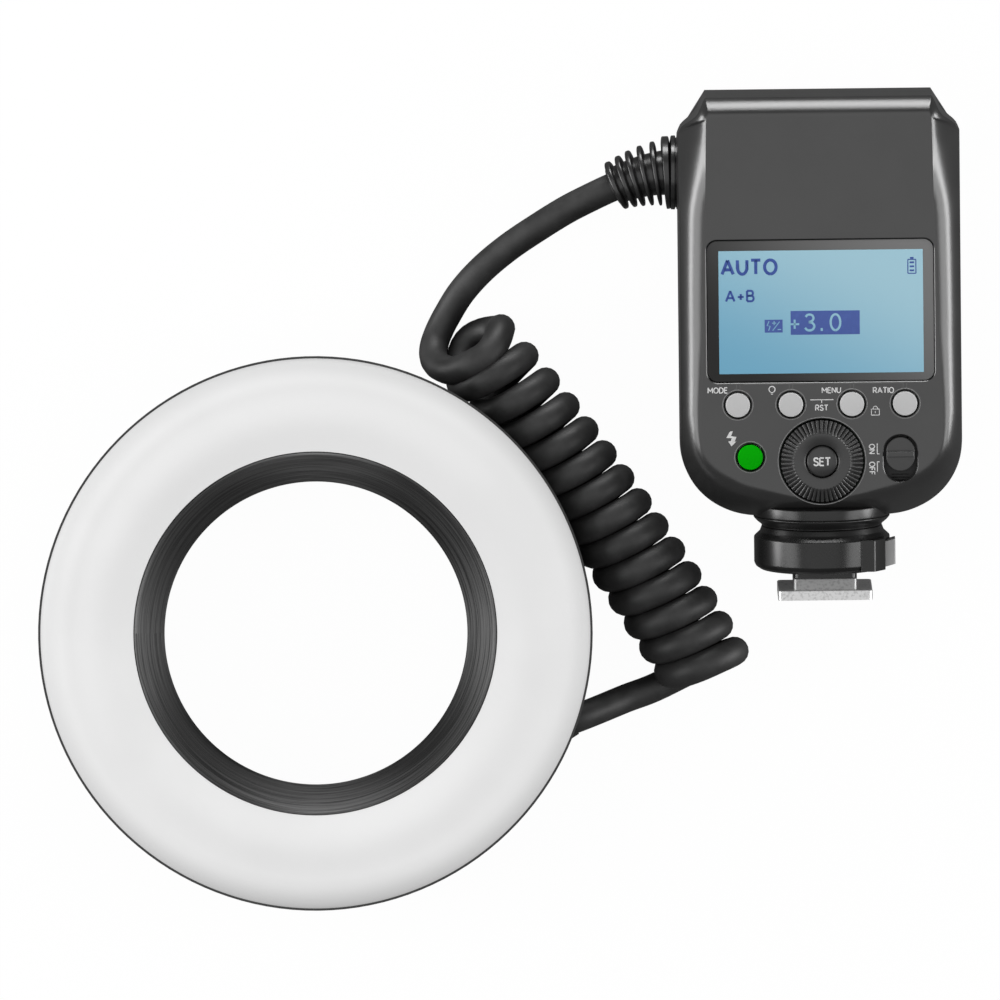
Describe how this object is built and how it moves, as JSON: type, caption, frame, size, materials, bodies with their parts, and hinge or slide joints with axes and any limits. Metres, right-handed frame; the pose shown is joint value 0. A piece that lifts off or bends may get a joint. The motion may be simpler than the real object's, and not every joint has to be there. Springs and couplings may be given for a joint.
{
  "type": "macro ring flash",
  "caption": "Ring-shaped flash head with a white diffuser and a clear centre hole, joined by a curly cord to a shoe-mount control unit with a display, buttons, dial and locking foot.",
  "frame": {"origin": "on the axis of the ring's rear bore, at the ring's back face, which lies on the table", "axes": "+X to the right, from the ring towards the control unit; +Y up the control unit, away from its foot; +Z out of the lit face, up from the table"},
  "size_m": [0.185, 0.1648, 0.0397],
  "materials": {
    "body_plastic": "fine moulded texture, satin",
    "display_glass": "clear glossy window with a dark border",
    "display_panel": "blue lit display",
    "white_plastic": "moulded",
    "circuit_board": "lacquered board",
    "grey_button": "smooth light grey",
    "green_button": "translucent green",
    "dial_plastic": "knurled and satin",
    "steel": "plated",
    "brass": "plated contact",
    "capacitor_sleeve": "shrink sleeve",
    "copper_winding": "taped winding",
    "battery_case": "moulded case",
    "gland_plastic": "moulded",
    "boot_rubber": "ribbed, matt",
    "collar_plastic": "satin turned",
    "foot_metal": "worn brushed edge",
    "release_plastic": "smooth grey",
    "ring_plastic": "fine moulded texture",
    "diffuser_plastic": "frosted white",
    "cone_plastic": "fine turned rings",
    "reflector_metal": "polished",
    "tube_glass": "clear tube",
    "lamp_plastic": "lamp resin",
    "latch_plastic": "moulded",
    "cord_jacket": "smooth satin jacket"
  },
  "bodies": {
    "root": {"front_shell": "body_plastic", "rear_shell": "body_plastic", "lcd_window": "display_glass", "lcd_panel": "display_panel", "lcd_backlight": "white_plastic", "main_board": "circuit_board", "tact_switches": "steel", "dial_encoder": "steel", "slide_switch": "steel", "ready_led": "lamp_plastic", "power_board": "circuit_board", "flash_capacitor": "capacitor_sleeve", "transformer": "copper_winding", "battery_pack": "battery_case", "battery_contacts": "brass", "battery_door_pin": "steel", "shell_screws": "steel", "cable_gland": "gland_plastic", "strain_relief_boot": "boot_rubber", "foot_flange": "collar_plastic", "foot_screws": "steel", "foot_post": "collar_plastic", "foot_plate": "foot_metal", "ring_rear_shell": "ring_plastic", "ring_rim": "ring_plastic", "diffuser": "diffuser_plastic", "inner_bezel": "cone_plastic", "reflector": "reflector_metal", "flash_tube_left": "tube_glass", "flash_tube_right": "tube_glass", "tube_holders": "white_plastic", "ring_board": "circuit_board", "focus_lamps": "lamp_plastic", "ring_screws": "steel", "ring_cable_gland": "gland_plastic", "cord_upper_lead": "cord_jacket", "cord_coil": "cord_jacket", "cord_lower_lead": "cord_jacket"},
    "mode_button": {"mode_button": "grey_button"},
    "lamp_button": {"lamp_button": "grey_button"},
    "menu_button": {"menu_button": "grey_button"},
    "ratio_button": {"ratio_button": "grey_button"},
    "test_button": {"test_button": "green_button"},
    "set_button": {"set_button": "dial_plastic"},
    "dial": {"dial": "dial_plastic"},
    "power_knob": {"power_knob": "dial_plastic"},
    "battery_door": {"battery_door": "body_plastic"},
    "lock_collar": {"lock_collar": "collar_plastic"},
    "collar_release": {"collar_release": "release_plastic"},
    "lock_pin": {"lock_pin": "steel"},
    "contact_pins": {"contact_pins": "brass"},
    "release_latch_left": {"release_latch_left": "latch_plastic"},
    "release_latch_right": {"release_latch_right": "latch_plastic"}
  },
  "joints": [
    {"name": "mode_press", "type": "slide", "parent": "root", "child": "mode_button", "axis": [-0.0014, 0.1219, -0.9925], "range_m": [0, 0.0005], "stiffness_N_per_m": 400},
    {"name": "lamp_press", "type": "slide", "parent": "root", "child": "lamp_button", "axis": [-0.0014, 0.1219, -0.9925], "range_m": [0, 0.0005], "stiffness_N_per_m": 400},
    {"name": "menu_press", "type": "slide", "parent": "root", "child": "menu_button", "axis": [-0.0014, 0.1219, -0.9925], "range_m": [0, 0.0005], "stiffness_N_per_m": 400},
    {"name": "ratio_press", "type": "slide", "parent": "root", "child": "ratio_button", "axis": [-0.0014, 0.1219, -0.9925], "range_m": [0, 0.0005], "stiffness_N_per_m": 400},
    {"name": "test_press", "type": "slide", "parent": "root", "child": "test_button", "axis": [-0.0014, 0.1219, -0.9925], "range_m": [0, 0.0005], "stiffness_N_per_m": 400},
    {"name": "set_press", "type": "slide", "parent": "root", "child": "set_button", "axis": [-0.0014, 0.1219, -0.9925], "range_m": [0, 0.0005], "stiffness_N_per_m": 400},
    {"name": "dial_turn", "type": "hinge", "parent": "root", "child": "dial", "pos_m": [0.10126, 0.03451, 0.03148], "axis": [0.0014, -0.1219, 0.9925], "continuous": true},
    {"name": "power_slide", "type": "slide", "parent": "root", "child": "power_knob", "axis": [0.0113, -0.9925, -0.1219], "range_m": [0, 0.0018]},
    {"name": "battery_door_swing", "type": "hinge", "parent": "root", "child": "battery_door", "pos_m": [0.0743, 0.0562, 0.015], "axis": [-0.0113, 0.9999, 0], "range_deg": [0, 100]},
    {"name": "collar_turn", "type": "hinge", "parent": "root", "child": "lock_collar", "pos_m": [0.10146, 0.01733, 0.01627], "axis": [0.0113, -0.9925, -0.1219], "range_deg": [0, 60]},
    {"name": "lock_pin_slide", "type": "slide", "parent": "root", "child": "lock_pin", "axis": [0.0113, -0.9925, -0.1219], "range_m": [0, 0.0013]},
    {"name": "collar_release_press", "type": "slide", "parent": "lock_collar", "child": "collar_release", "axis": [-0.9999, -0.0113, 0], "range_m": [0, 0.001], "stiffness_N_per_m": 400},
    {"name": "contact_press", "type": "slide", "parent": "root", "child": "contact_pins", "axis": [-0.0113, 0.9925, 0.1219], "range_m": [0, 0.0004], "stiffness_N_per_m": 400},
    {"name": "latch_left_press", "type": "slide", "parent": "root", "child": "release_latch_left", "axis": [1, 0, 0], "range_m": [0, 0.0012], "stiffness_N_per_m": 600},
    {"name": "latch_right_press", "type": "slide", "parent": "root", "child": "release_latch_right", "axis": [-1, 0, 0], "range_m": [0, 0.0012], "stiffness_N_per_m": 600}
  ],
  "couplings": [
    {"joint": "lock_pin_slide", "follows": "collar_turn", "m_per_rad": 0.0011459}
  ]
}
